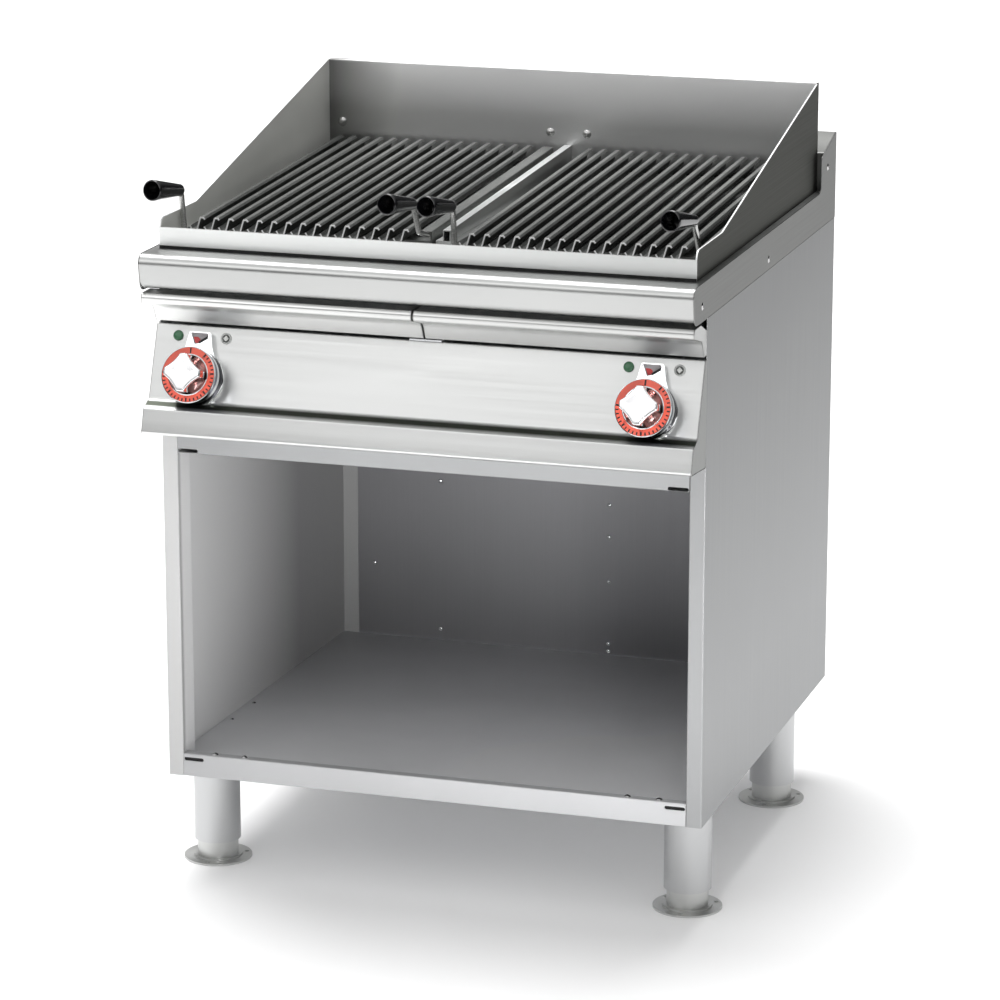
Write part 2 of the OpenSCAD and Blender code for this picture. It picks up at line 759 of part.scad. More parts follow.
module knob(side) {
    bite_r = 65;
    bite_at = cap_r * 0.76 + bite_r;
    color(bright_steel) place() on_panel(side * knob_x, knob_s) difference() {
        union() {
            translate([0, 0, 18]) cylinder(r = dial_r, h = dial_z - 18.1);
            translate([0, 0, 18]) cylinder(r = 8, h = 20);
            translate([0, 0, 24]) linear_extrude(knob_h - 24) difference() {
                circle(cap_r);
                for (a = [45:90:315])
                    rotate(a) translate([bite_at, 0]) circle(bite_r);
            }
        }
        translate([0, 0, 27]) difference() {
            cylinder(r = dial_r - 13, h = 12);
            translate([0, 0, -1]) linear_extrude(14) difference() {
                circle(cap_r);
                for (a = [45:90:315])
                    rotate(a) translate([bite_at, 0]) circle(bite_r);
            }
        }
        translate([0, 0, 17]) cylinder(r = 3.05, h = 20);
    }
}

module knob_shaft(side) {
    color(steel) place() on_panel(side * knob_x, knob_s) translate([0, 0, -14]) cylinder(r = 3, h = 48);
}

module thermostat(side) {
    color(dark_steel) place() on_panel(side * knob_x, knob_s) difference() {
        union() {
            translate([-22, -22, -33]) cube([44, 44, 33 - sheet]);
            translate([0, 0, -2]) cylinder(r = 4.8, h = 5);
        }
        translate([0, 0, -16]) cylinder(r = 3.05, h = 30);
    }
}

module lamps(offset, lens_r, lens_h, dome_h) {
    place()
        for (side = [-1, 1])
            on_panel(side * knob_x + offset, lamp_s) {
                translate([0, 0, 0.05]) cylinder(r = lens_r, h = lens_h);
                translate([0, 0, lens_h - 0.1]) dome(lens_r - 0.4, dome_h);
                translate([0, 0, -24]) cylinder(r = 5.4, h = 24.1);
            }
}

module green_lamps() {
    color([0.13, 0.5, 0.25]) lamps(-lamp_x, 7.5, 1.6, 2.2);
}

module clear_lamps() {
    color([0.8, 0.82, 0.8]) lamps(lamp_x, 5.3, 1.4, 2.4);
}

module lamp_collars() {
    color(bright_steel) place()
        for (side = [-1, 1])
            on_panel(side * knob_x + lamp_x, lamp_s) difference() {
                translate([0, 0, 0.05]) cylinder(r = 8, h = 2.2);
                translate([0, 0, -1]) cylinder(r = 5.5, h = 5);
            }
}

// ---- electrical compartment ----

module contactors() {
    color(grip_black) place()
        for (x = [-60, 10])
            translate([x, 420, ceiling_z + sheet]) {
                cube([45, 75, 50]);
                translate([4, 12, 50]) cube([37, 51, 28]);
            }
}

module terminal_block() {
    color([0.75, 0.72, 0.62]) place() translate([180, 560, ceiling_z + sheet]) difference() {
        cube([90, 34, 30]);
        for (k = [0:4])
            translate([6 + 17 * k, 8, 18]) cube([10, 18, 20]);
    }
}

module cable_gland() {
    color(grip_black) place() translate([gland_x, body_d, gland_z]) rotate([-90, 0, 0]) difference() {
        union() {
            translate([0, 0, -14]) cylinder(r = 12, h = 16);
            translate([0, 0, -7.2]) cylinder(r = 17, h = 6, $fn = 6);
            cylinder(r = 17, h = 6, $fn = 6);
            translate([0, 0, 5.9]) cylinder(r = 14, h = gland_out - 5.9);
        }
        translate([0, 0, -20]) cylinder(r = gland_bore, h = 40);
    }
}

side_panel(-1);  // left_side_panel
side_panel(1);  // right_side_panel
base_shelf();
header_rail();
back_panel();
compartment_floor();
panel_screws();
back_rivets();
leg_sleeve(0);  // leg_sleeve_front_left
leg_sleeve(1);  // leg_sleeve_front_right
leg_sleeve(2);  // leg_sleeve_rear_left
leg_sleeve(3);  // leg_sleeve_rear_right
leg_bolts();
foot(0);  // foot_front_left
foot(1);  // foot_front_right
foot(2);  // foot_rear_left
foot(3);  // foot_rear_right
hob_top();
rear_upstand();
splash_guard_side(-1);  // splash_guard_left
splash_guard_side(1);  // splash_guard_right
splash_guard_back();
guard_bolts();
well_frame();
centre_divider();
element(-1);  // element_left
element(1);  // element_right
element_supports();
grate_bars(-1);  // grate_bars_left
grate_bars(1);  // grate_bars_right
grate_frame(-1);  // grate_frame_left
grate_frame(1);  // grate_frame_right
handle_rods(-1);  // handle_rods_left
handle_rods(1);  // handle_rods_right
handle_grips(-1);  // handle_grips_left
handle_grips(1);  // handle_grips_right
drawer_front(-1);  // drawer_front_left
drawer_front(1);  // drawer_front_right
drawer_tray(-1);  // drawer_tray_left
drawer_tray(1);  // drawer_tray_right
drawer_runners();
drawer_centre_post();
heat_shield();
control_panel();
bezel(-1);  // bezel_left
bezel(1);  // bezel_right
dial(-1);  // dial_left
dial(1);  // dial_right
knob(-1);  // knob_left
knob(1);  // knob_right
knob_shaft(-1);  // knob_shaft_left
knob_shaft(1);  // knob_shaft_right
thermostat(-1);  // thermostat_left
thermostat(1);  // thermostat_right
green_lamps();
clear_lamps();
lamp_collars();
contactors();
terminal_block();
cable_gland();
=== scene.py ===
import math

import bmesh
import bpy
from mathutils import Matrix, Vector
from mathutils.geometry import tessellate_polygon


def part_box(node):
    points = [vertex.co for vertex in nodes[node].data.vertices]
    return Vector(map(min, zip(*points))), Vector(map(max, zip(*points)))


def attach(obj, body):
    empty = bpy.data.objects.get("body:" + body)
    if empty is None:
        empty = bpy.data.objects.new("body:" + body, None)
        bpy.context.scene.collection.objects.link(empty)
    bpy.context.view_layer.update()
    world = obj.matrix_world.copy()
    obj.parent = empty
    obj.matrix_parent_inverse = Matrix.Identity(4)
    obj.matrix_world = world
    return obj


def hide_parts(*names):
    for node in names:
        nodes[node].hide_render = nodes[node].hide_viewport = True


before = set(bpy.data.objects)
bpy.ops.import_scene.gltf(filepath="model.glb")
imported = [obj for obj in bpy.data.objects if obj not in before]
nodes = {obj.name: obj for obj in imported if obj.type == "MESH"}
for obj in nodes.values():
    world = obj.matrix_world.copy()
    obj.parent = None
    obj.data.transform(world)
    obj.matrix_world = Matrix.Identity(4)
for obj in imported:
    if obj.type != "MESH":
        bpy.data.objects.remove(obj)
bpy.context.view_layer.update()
scene = bpy.context.scene
scene.view_settings.view_transform = "Standard"

# Sizes below are in millimetres, in a frame whose Y = 0 is the cabinet's front face
MM = 0.001
FRONT_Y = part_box("left_side_panel")[0].y


def at(x, y, z):
    """A point given in millimetres, in the row frame in metres."""
    return Vector((x * MM, FRONT_Y + y * MM, z * MM))


# ---------------------------------------------------------------- camera, light and floor

CAMERA_DOWN, CAMERA_TURN, CAMERA_LENS = 14.8, 17.5, 148.8    # degrees, degrees, millimetres

camera = bpy.data.objects.new("camera", bpy.data.cameras.new("camera"))
scene.collection.objects.link(camera)
camera.location = at(1777.5, -5305.8, 2071.4)
camera.rotation_euler = (math.radians(90 - CAMERA_DOWN), 0, math.radians(CAMERA_TURN))
camera.data.sensor_width = 36
camera.data.lens = CAMERA_LENS
camera.data.clip_start = 0.1
camera.data.clip_end = 60
scene.camera = camera


def studio_sky():
    """A white room that is darker to the right and behind, and lower down."""
    world = bpy.data.worlds.new("studio")
    scene.world = world
    world.use_nodes = True
    sky = world.node_tree
    direction = sky.nodes.new("ShaderNodeTexCoord").outputs["Generated"]
    away = sky.nodes.new("ShaderNodeVectorMath")
    away.operation = "DOT_PRODUCT"
    away.inputs[1].default_value = (0.75, 0.55, -0.1)
    sky.links.new(direction, away.inputs[0])
    side_ramp = sky.nodes.new("ShaderNodeValToRGB")
    side_ramp.color_ramp.interpolation = "EASE"
    for stop, place, grey in zip(side_ramp.color_ramp.elements, (0.05, 0.9), (1, 0.3)):
        stop.position = place
        stop.color = (grey, grey, grey, 1)
    sky.links.new(away.outputs["Value"], side_ramp.inputs[0])
    height = sky.nodes.new("ShaderNodeSeparateXYZ")
    sky.links.new(direction, height.inputs[0])
    rise = sky.nodes.new("ShaderNodeMapRange")
    rise.interpolation_type = "SMOOTHSTEP"
    for socket, value in (("From Min", 0.15), ("From Max", 0.65), ("To Min", 0.06), ("To Max", 0.95)):
        rise.inputs[socket].default_value = value
    sky.links.new(height.outputs["Z"], rise.inputs["Value"])
    sky.links.new(side_ramp.outputs[0], sky.nodes["Background"].inputs["Color"])
    sky.links.new(rise.outputs[0], sky.nodes["Background"].inputs["Strength"])


def area_light(name, place, target, size, power, spread=180):
    data = bpy.data.lights.new(name, "AREA")
    data.shape = "RECTANGLE"
    data.size, data.size_y = size
    data.energy = power
    data.spread = math.radians(spread)
    lamp = bpy.data.objects.new(name, data)
    scene.collection.objects.link(lamp)
    lamp.location = place
    lamp.rotation_euler = (Vector(target) - Vector(place)).to_track_quat("-Z", "Y").to_euler()


def sun_light(name, tilt, strength, spread):
    """Even light over the whole floor, its shadow edges as soft as spread degrees of sky give."""
    data = bpy.data.lights.new(name, "SUN")
    data.energy = strength
    data.angle = math.radians(spread)
    lamp = bpy.data.objects.new(name, data)
    scene.collection.objects.link(lamp)
    lamp.rotation_euler = [math.radians(a) for a in tilt]


studio_sky()
sun_light("top", (-14, -10, 0), 2.5, 34)
area_light("key", (-1.3, -3.1, 2.7), (0, 0, 0.75), (2.4, 1.5), 15)
area_light("fill", (1.0, -2.2, 0.55), (-0.25, 0.2, 0.5), (0.7, 0.5), 1.3, spread=24)


# ---------------------------------------------------------------- materials

class Shader:
    """A small builder for one procedural material."""

    def __init__(self, name, colour, rough, metal=0.0):
        self.material = bpy.data.materials.new(name)
        self.material.use_nodes = True
        self.tree = self.material.node_tree
        self.out = self.tree.nodes["Principled BSDF"]
        self.colour = (*colour, 1)
        self.out.inputs["Base Color"].default_value = self.colour
        self.out.inputs["Roughness"].default_value = rough
        self.out.inputs["Metallic"].default_value = metal
        self.coords = self.tree.nodes.new("ShaderNodeTexCoord")

    def noise(self, scale, detail=3, rough=0.55):
        """Noise with its own scale per axis, in features per metre."""
        mapping = self.tree.nodes.new("ShaderNodeMapping")
        mapping.inputs["Scale"].default_value = scale if isinstance(scale, tuple) else (scale,) * 3
        self.tree.links.new(self.coords.outputs["Object"], mapping.inputs["Vector"])
        tex = self.tree.nodes.new("ShaderNodeTexNoise")
        tex.inputs["Scale"].default_value = 1
        tex.inputs["Detail"].default_value = detail
        tex.inputs["Roughness"].default_value = rough
        self.tree.links.new(mapping.outputs[0], tex.inputs["Vector"])
        return tex.outputs["Fac"]

    def spread(self, value, low, high, start=0.3, end=0.7):
        """Takes start..end to low..high, and holds the ends; noise lies mostly between 0.3 and 0.7."""
        node = self.tree.nodes.new("ShaderNodeMapRange")
        node.inputs["From Min"].default_value = start
        node.inputs["From Max"].default_value = end
        node.inputs["To Min"].default_value = low
        node.inputs["To Max"].default_value = high
        self.tree.links.new(value, node.inputs["Value"])
        return node.outputs[0]

    def math(self, a, b, operation="ADD"):
        node = self.tree.nodes.new("ShaderNodeMath")
        node.operation = operation
        self.tree.links.new(a, node.inputs[0])
        self.tree.links.new(b, node.inputs[1])
        return node.outputs[0]

    def mix(self, factor, a, b):
        """Colour between a and b, each a colour or a socket."""
        node = self.tree.nodes.new("ShaderNodeMix")
        node.data_type = "RGBA"
        self.tree.links.new(factor, node.inputs["Factor"])
        for key, value in ((6, a), (7, b)):
            if isinstance(value, tuple):
                node.inputs[key].default_value = (*value[:3], 1)
            else:
                self.tree.links.new(value, node.inputs[key])
        return node.outputs[2]

    def fade(self, axis, start, end, low, high):
        """A factor that runs from low to high between two places on one axis, in metres."""
        split = self.tree.nodes.new("ShaderNodeSeparateXYZ")
        self.tree.links.new(self.coords.outputs["Object"], split.inputs[0])
        return self.spread(split.outputs[axis.upper()], low, high, start, end)

    def dim(self, colour, factor):
        """Colour times a factor."""
        node = self.tree.nodes.new("ShaderNodeVectorMath")
        node.operation = "SCALE"
        self.tree.links.new(colour, node.inputs[0])
        self.tree.links.new(factor, node.inputs["Scale"])
        return node.outputs[0]

    def feed(self, name, value):
        self.tree.links.new(value, self.out.inputs[name])

    def bump(self, value, strength, depth=0.0003):
        node = self.tree.nodes.new("ShaderNodeBump")
        node.inputs["Strength"].default_value = strength
        node.inputs["Distance"].default_value = depth
        self.tree.links.new(value, node.inputs["Height"])
        self.feed("Normal", node.outputs[0])


def scaled(colour, k):
    return tuple(min(1, c * k) for c in colour)


ALONG, ACROSS = 2.5, 620    # brush marks per metre, along the grain and across it


def steel(name, colour, rough, grain="x", clouds=0.05, depth=0.12, painted_shading=(), metal=1.0, edge=1.0):
    """Brushed sheet: fine grain along one axis, faint clouds, painted light and shade as ramps of tone along
    axes, a tint at glancing angles.
    """
    s = Shader(name, colour, rough, metal=metal)
    scale = tuple(ALONG if axis == grain else ACROSS for axis in "xyz")
    fine = s.noise(scale, detail=5, rough=0.7)
    broad = s.noise(tuple(k * 0.12 if k == ACROSS else k for k in scale), detail=2)
    cloud = s.noise(3.2, detail=3)
    tone = s.mix(s.spread(cloud, 0, 1), scaled(colour, 1 - clouds), scaled(colour, 1 + clouds))
    line = s.spread(s.math(fine, broad, "MULTIPLY"), 0, 1, 0.12, 0.42)
    brushed = s.mix(line, s.mix(s.spread(fine, 0.9, 1), scaled(colour, 0.9), tone), tone)
    # painted light and shade: each ramp dims or brightens the colour along one axis
    for fade in painted_shading:
        brushed = s.dim(brushed, s.fade(*fade))
    s.feed("Base Color", brushed)
    s.feed("Roughness", s.math(s.spread(fine, rough - 0.05, rough + 0.05), s.spread(cloud, -0.03, 0.04)))
    s.bump(fine, depth, 0.0001)
    s.out.inputs["Anisotropic"].default_value = 0.35
    s.out.inputs["Specular Tint"].default_value = (edge, edge, edge, 1)
    return s.material


BACK_Y = FRONT_Y + 0.7
# painted shade: the fronts darken towards the right
front_steel = steel("front_steel", (0.82, 0.825, 0.815), 0.36, painted_shading=[("x", -0.4, 0.15, 1.0, 0.72)])
hob_steel = steel("hob_steel", (0.5, 0.505, 0.5), 0.34)
# painted light and shade on the left panel: a near-white copy of the sheet, lit near the opening, shaded
# towards the back, darker at its front edge
left_steel = steel("left_steel", (1.0, 1.0, 1.0), 0.5, grain="z", metal=0.2, clouds=0.03,
                   painted_shading=[("y", FRONT_Y + 0.05, FRONT_Y + 0.55, 1.0, 0.25),
                          ("y", FRONT_Y + 0.004, FRONT_Y + 0.012, 0.54, 1)])
# painted shade: a darker copy of the sheet for the right side panel, darker still towards the top
side_steel = steel("side_steel", (0.42, 0.425, 0.43), 0.42, grain="z", edge=0.7,
                   painted_shading=[("z", 0.3, 0.9, 1.0, 0.6)])
# painted shade: a dark copy of the sheet for the back panel and compartment floor, lighter towards the right
inner_steel = steel("inner_steel", (0.26, 0.26, 0.27), 0.48, grain="z", painted_shading=[("x", -0.4, 0.2, 0.75, 1.15)])
# painted light and shade on the storage floor: darker towards the back, a darker band along its front edge,
# lighter to the right
shelf_steel = steel("shelf_steel", (0.86, 0.865, 0.88), 0.5, metal=0.4,
                    painted_shading=[("y", FRONT_Y + 0.2, BACK_Y, 1.0, 0.62),
                           ("y", FRONT_Y + 0.01, FRONT_Y + 0.03, 0.6, 1), ("x", -0.36, 0.3, 0.9, 1.35)])
# painted shade: a dark copy of the sheet for the header rail, in shade under the control panel
header_steel = steel("header_steel", (0.36, 0.365, 0.37), 0.42)
# painted light and shade on the back guard: dark at its left end, brightened from there, a little darker to
# the right, brighter low down
guard_back_steel = steel("guard_back_steel", (0.97, 0.975, 0.955), 0.38, clouds=0.08,
                         painted_shading=[("x", -0.38, -0.2, 0.24, 1.45), ("x", -0.1, 0.15, 1.0, 0.9),
                                ("z", 0.98, 1.06, 1.2, 1.05)])
guard_left_steel = steel("guard_left_steel", (0.8, 0.805, 0.77), 0.5, grain="y", clouds=0.1, metal=0.4)
# painted shade: a near-black copy of the guard sheet for the right guard
guard_right_steel = steel("guard_right_steel", (0.1, 0.102, 0.095), 0.45, grain="y", clouds=0.1, edge=0.45)
leg_steel = steel("leg_steel", (0.54, 0.545, 0.55), 0.34, grain="z", clouds=0.03)
foot_steel = steel("foot_steel", (0.58, 0.585, 0.575), 0.36, clouds=0.05)
zinc = steel("zinc_sheet", (0.55, 0.56, 0.57), 0.5, clouds=0.12)
# painted shade: the well frame darkens towards the right
well_steel = steel("well_steel", (0.86, 0.875, 0.865), 0.36, clouds=0.06, painted_shading=[("x", -0.3, 0.3, 1.0, 0.7)])
# painted shade: dark copies of the sheet for the hob's side aprons and the rear upstand
apron_steel = steel("apron_steel", (0.27, 0.272, 0.268), 0.4, grain="y", edge=0.5)
upstand_steel = steel("upstand_steel", (0.21, 0.212, 0.206), 0.4, grain="z", edge=0.5)
# painted light: the divider brightened into a light strip, more to the left of x = 5 mm than to its right
divider_steel = steel("divider_steel", (0.36, 0.365, 0.36), 0.36, grain="y",
                      painted_shading=[("x", 0.005, 0.0054, 2.4, 1.7)])
hardware = steel("hardware", (0.62, 0.62, 0.61), 0.3, clouds=0.04, depth=0.05)
rod_steel = steel("rod_steel", (0.5, 0.5, 0.49), 0.25, clouds=0.04, depth=0.05)


def panel_finish():
    """The control panel's sheet: bright face, a lip brightened with painted light, and painted shade
    darkening the ledge between them.
    """
    colour = (0.58, 0.585, 0.58)
    ledge = [FRONT_Y + y * MM for y in (-65, -60, -53, -48.5)]
    s = Shader("panel_steel", colour, 0.36, metal=1.0)
    fine = s.noise((ALONG, ACROSS, ACROSS), detail=5, rough=0.7)
    face = s.mix(s.spread(fine, 0.8, 1), scaled(colour, 0.92), scaled(colour, 1.04))
    # painted light and shade: the face a little darker to the right, the lip below the ledge brighter
    face = s.dim(face, s.fade("x", -0.4, 0.4, 0.96, 1.0))
    face = s.dim(face, s.fade("y", FRONT_Y - 0.0725, FRONT_Y - 0.066, 1.3, 1))
    # painted shade: the ledge between face and lip darkened almost to black
    ledge_shade = s.math(s.fade("y", ledge[0], ledge[1], 0, 1), s.fade("y", ledge[2], ledge[3], 1, 0), "MULTIPLY")
    s.feed("Base Color", s.mix(ledge_shade, face, (0.045, 0.05, 0.04)))
    s.feed("Roughness", s.spread(fine, 0.31, 0.41))
    s.bump(fine, 0.12, 0.0001)
    s.out.inputs["Anisotropic"].default_value = 0.35
    return s.material


panel_steel = panel_finish()
# painted shade: darker copies of the sheet for the control panel's ends and the drawer ends
end_steel = steel("end_steel", (0.34, 0.345, 0.34), 0.42, grain="z", edge=0.6)
drawer_end_steel = steel("drawer_end_steel", (0.5, 0.505, 0.5), 0.4, grain="z", edge=0.8)
# painted highlight: near-white, nearly non-metallic, for the grate bars' front ends
bar_end_highlight_steel = steel("bar_end_highlight_steel", (0.95, 0.96, 0.95), 0.4, clouds=0.12, metal=0.15)
# painted highlight: near-white, nearly non-metallic, for the side guards' front and top edges
edge_highlight_steel = steel("edge_highlight_steel", (0.95, 0.96, 0.96), 0.4, clouds=0.06, metal=0.2)


def grate_finish():
    """Dark steel with fine bright specks and patches of soot."""
    s = Shader("grate_steel", (0.12, 0.125, 0.12), 0.42, metal=0.85)
    speck = s.noise(420, detail=4, rough=0.8)
    soot = s.noise((9, 4, 9), detail=3)
    dark = s.mix(s.spread(soot, 0, 1), (0.11, 0.114, 0.11), (0.2, 0.205, 0.196))
    s.feed("Base Color", s.mix(s.spread(speck, 0, 1, 0.52, 0.7), dark, (0.38, 0.39, 0.38)))
    s.feed("Roughness", s.spread(speck, 0.32, 0.55))
    s.bump(speck, 0.25, 0.0002)
    return s.material


def chrome(name, colour=(0.86, 0.87, 0.88), rough=0.08):
    """Polished metal with faint smears."""
    s = Shader(name, colour, rough, metal=1.0)
    smear = s.noise(35, detail=3)
    s.feed("Roughness", s.spread(smear, rough * 0.6, rough * 1.7))
    s.feed("Base Color", s.mix(s.spread(smear, 0, 1), colour, scaled(colour, 0.93)))
    return s.material


def plastic(name, colour, rough, vary=0.12, coat=0.0, grain=900):
    """Moulded or painted skin with fine grain and light wear."""
    s = Shader(name, colour, rough)
    skin = s.noise(grain, detail=2)
    wear = s.noise(26, detail=3)
    s.feed("Base Color", s.mix(s.spread(wear, 0, 1), scaled(colour, 1 - vary), scaled(colour, 1 + vary)))
    s.feed("Roughness", s.spread(wear, rough * 0.8, rough * 1.25))
    s.bump(skin, 0.06, 0.0001)
    s.out.inputs["Coat Weight"].default_value = coat
    return s.material


grate_steel = grate_finish()
knob_chrome = chrome("knob_chrome")
screw_chrome = chrome("screw_chrome", (0.5, 0.5, 0.5), 0.12)
cap_chrome = chrome("cap_chrome", (0.95, 0.95, 0.96), 0.25)
# painted reflection: the dish under the cap tinted red, standing in for the red dial mirrored in it
dish_reflection_chrome = chrome("dish_reflection_chrome", (0.66, 0.42, 0.4), 0.22)
# painted reflection: dark blue-grey chrome for a band of the knob's skirt, standing in for dark surroundings
# mirrored in it
navy_reflection_chrome = chrome("navy_reflection_chrome", (0.12, 0.13, 0.18), 0.15)
# painted shade: near-black chrome for the bezel ring's sides, the dark band around the knob
ring_shade_chrome = chrome("ring_shade_chrome", (0.05, 0.05, 0.06), 0.22)
grip_black = plastic("grip_black", (0.004, 0.004, 0.005), 0.14, coat=0.4)
black_plastic = plastic("black_plastic", (0.03, 0.03, 0.032), 0.45)
dial_red = plastic("dial_red", (0.72, 0.085, 0.045), 0.32, vary=0.06, coat=0.3)
print_black = plastic("print_black", (0.004, 0.004, 0.004), 0.5)
print_dark_red = plastic("print_dark_red", (0.22, 0.012, 0.01), 0.4)
mark_red = plastic("mark_red", (0.55, 0.04, 0.04), 0.35, vary=0.05)
plate_grey = plastic("plate_grey", (0.3, 0.28, 0.29), 0.4, vary=0.05)
shadow_line = plastic("shadow_line", (0.008, 0.008, 0.008), 0.8)
lens_green = plastic("lens_green", (0.035, 0.13, 0.06), 0.35, vary=0.2, coat=0.2, grain=300)
lamp_ring = plastic("lamp_ring", (0.42, 0.43, 0.42), 0.35)
lamp_dark = plastic("lamp_dark", (0.06, 0.065, 0.06), 0.4)
terminal_beige = plastic("terminal_beige", (0.46, 0.42, 0.33), 0.5)
element_oxide = plastic("element_oxide", (0.035, 0.033, 0.03), 0.55, vary=0.3)


def lens_glass():
    s = Shader("lens_clear", (0.86, 0.87, 0.85), 0.12)
    ribs = s.noise(160, detail=1)
    s.feed("Base Color", s.mix(s.spread(ribs, 0, 1), (0.7, 0.71, 0.69), (0.9, 0.91, 0.89)))
    s.feed("Roughness", s.spread(ribs, 0.06, 0.2))
    s.out.inputs["Transmission Weight"].default_value = 0.35
    s.out.inputs["IOR"].default_value = 1.49
    return s.material


lens_clear = lens_glass()


def floor_finish():
    s = Shader("floor", (0.95, 0.95, 0.95), 0.75)
    s.feed("Roughness", s.spread(s.noise(2.0), 0.7, 0.85))
    return s.material


FLOOR_REACH = 14
floor_mesh = bpy.data.meshes.new("floor")
corners = ((-1, -1), (1, -1), (1, 1), (-1, 1))
floor_mesh.from_pydata([(i * FLOOR_REACH, j * FLOOR_REACH, 0) for i, j in corners], [], [(0, 1, 2, 3)])
floor_mesh.materials.append(floor_finish())
floor = bpy.data.objects.new("floor", floor_mesh)
scene.collection.objects.link(floor)

NODE_FINISH = {
    "left_side_panel": left_steel, "right_side_panel": side_steel, "back_panel": inner_steel,
    "compartment_floor": inner_steel, "base_shelf": shelf_steel, "header_rail": header_steel,
    "drawer_front_left": front_steel, "drawer_front_right": front_steel, "control_panel": front_steel,
    "hob_top": hob_steel, "rear_upstand": upstand_steel, "well_frame": well_steel,
    "centre_divider": divider_steel,
    "splash_guard_left": guard_left_steel, "splash_guard_right": guard_right_steel,
    "splash_guard_back": guard_back_steel,
    "element_left": element_oxide, "element_right": element_oxide, "element_supports": hardware,
    "panel_screws": screw_chrome, "back_rivets": knob_chrome, "leg_bolts": screw_chrome,
    "guard_bolts": hardware,
    "drawer_tray_left": zinc, "drawer_tray_right": zinc, "drawer_runners": zinc, "drawer_centre_post": zinc,
    "heat_shield": zinc, "thermostat_left": black_plastic, "thermostat_right": black_plastic,
    "contactors": black_plastic, "terminal_block": terminal_beige, "cable_gland": black_plastic,
    "green_lamps": lens_green, "clear_lamps": lens_clear, "lamp_collars": knob_chrome,
}
for prefix, finish in (("grate_", grate_steel), ("leg_sleeve", leg_steel), ("foot_", foot_steel),
                       ("bezel_", knob_chrome), ("knob_", knob_chrome), ("dial_", dial_red),
                       ("handle_rods", rod_steel), ("handle_grips", grip_black)):
    for name in nodes:
        if name.startswith(prefix):
            NODE_FINISH[name] = finish
for name, obj in nodes.items():
    obj.data.materials.clear()
    obj.data.materials.append(NODE_FINISH[name])

# ---------------------------------------------------------------- outlines and meshes

def arc_points(a, c, b, r, step=5):
    """The arc of radius r that rounds corner c between a and b."""
    u, v = (a - c).normalized(), (b - c).normalized()
    turn = u.x * v.y - u.y * v.x
    if r <= 0 or abs(turn) < 1e-3:
        return [c]
    half = u.angle(v) / 2
    middle = c + (u + v).normalized() * (r / math.sin(half))
    spoke = c + u * (r / math.tan(half)) - middle
    sweep = (math.pi - 2 * half) * (-1 if turn > 0 else 1)
    steps = max(2, math.ceil(abs(math.degrees(sweep)) / step))
    return [middle + Matrix.Rotation(sweep * k / steps, 2) @ spoke for k in range(steps + 1)]


def rounded(points, radii, closed=False):
    """An outline with its corners rounded, each by its own radius."""
    p = [Vector(q) for q in points]
    out = []
    for i, q in enumerate(p):
        if not closed and i in (0, len(p) - 1):
            out.append(q)
        else:
            out += arc_points(p[i - 1], q, p[(i + 1) % len(p)], radii[i])
    return out


def bent(points, radii, t):
    """Outline of sheet bent along a path, its thickness t to the left, or to the right if t < 0."""
    p = [Vector(q) for q in points]
    last = len(p) - 1
    left = [Vector((-(b - a).normalized().y, (b - a).normalized().x)) for a, b in zip(p, p[1:])]
    moved, inner = [], []
    for i, q in enumerate(p):
        m = left[max(i - 1, 0)] + left[min(i, last - 1)]
        moved.append(q + m * (2 * t / m.dot(m)))
        if 0 < i < last:
            a, b = p[i] - p[i - 1], p[i + 1] - p[i]
            sign = 1 if a.x * b.y - a.y * b.x > 0 else -1
            inner.append(max(0.2, radii[i] - t * sign))
        else:
            inner.append(0)
    return rounded(p, radii) + rounded(moved, inner)[::-1]


def axes_matrix(origin, axes, unit):
    """Turns local coordinates along three axes, each one unit long, into the frame the axes are given in."""
    m = Matrix.Identity(4)
    for i, axis in enumerate(axes):
        for j in range(3):
            m[j][i] = axis[j] * unit
    m.translation = origin
    return m


def row_matrix(origin, x_axis, y_axis, z_axis):
    """Local millimetres to the row frame, with the axes given as directions."""
    return axes_matrix(at(*origin), (x_axis, y_axis, z_axis), MM)


def both_ways(side, a, b):
    """Two distances from the middle as X on one side, the lower first."""
    return sorted((side * a, side * b))


SIDE_ON = row_matrix((0, 0, 0), (0, 1, 0), (0, 0, 1), (1, 0, 0))    # outline in Y, Z, drawn out along X
FLAT_ON = row_matrix((0, 0, 0), (1, 0, 0), (0, 1, 0), (0, 0, 1))    # outline in X, Y, drawn out along Z


def extrude(bm, outline, place, low, high, slot_index=0):
    """A closed solid on an outline, from low to high along the local Z axis."""
    rings = [[bm.verts.new(place @ Vector((p[0], p[1], h))) for p in outline] for h in (low, high)]
    n = len(outline)
    faces = [bm.faces.new((rings[0][i], rings[0][(i + 1) % n], rings[1][(i + 1) % n], rings[1][i]))
             for i in range(n)]
    faces += [bm.faces.new(rings[0][::-1]), bm.faces.new(rings[1])]
    for face in faces:
        face.material_index = slot_index


def lathe(bm, profile, place, around=72, closed=False, slot_index=0):
    """Turns a profile of (radius, height) about the local Z axis; a point at radius 0 closes it."""
    rings = []
    for r, h in profile:
        if r < 1e-6:
            rings.append([bm.verts.new(place @ Vector((0, 0, h)))])
        else:
            rings.append([bm.verts.new(place @ Vector((r * math.cos(k * math.tau / around),
                                                       r * math.sin(k * math.tau / around), h)))
                          for k in range(around)])
    for a, b in zip(rings, rings[1:] + rings[:1] if closed else rings[1:]):
        for k in range(around):
            j = (k + 1) % around
            quad = [a[k % len(a)], a[j % len(a)], b[j % len(b)], b[k % len(b)]]
            quad = [v for i, v in enumerate(quad) if v not in quad[:i]]
            if len(quad) > 2:
                bm.faces.new(quad).material_index = slot_index


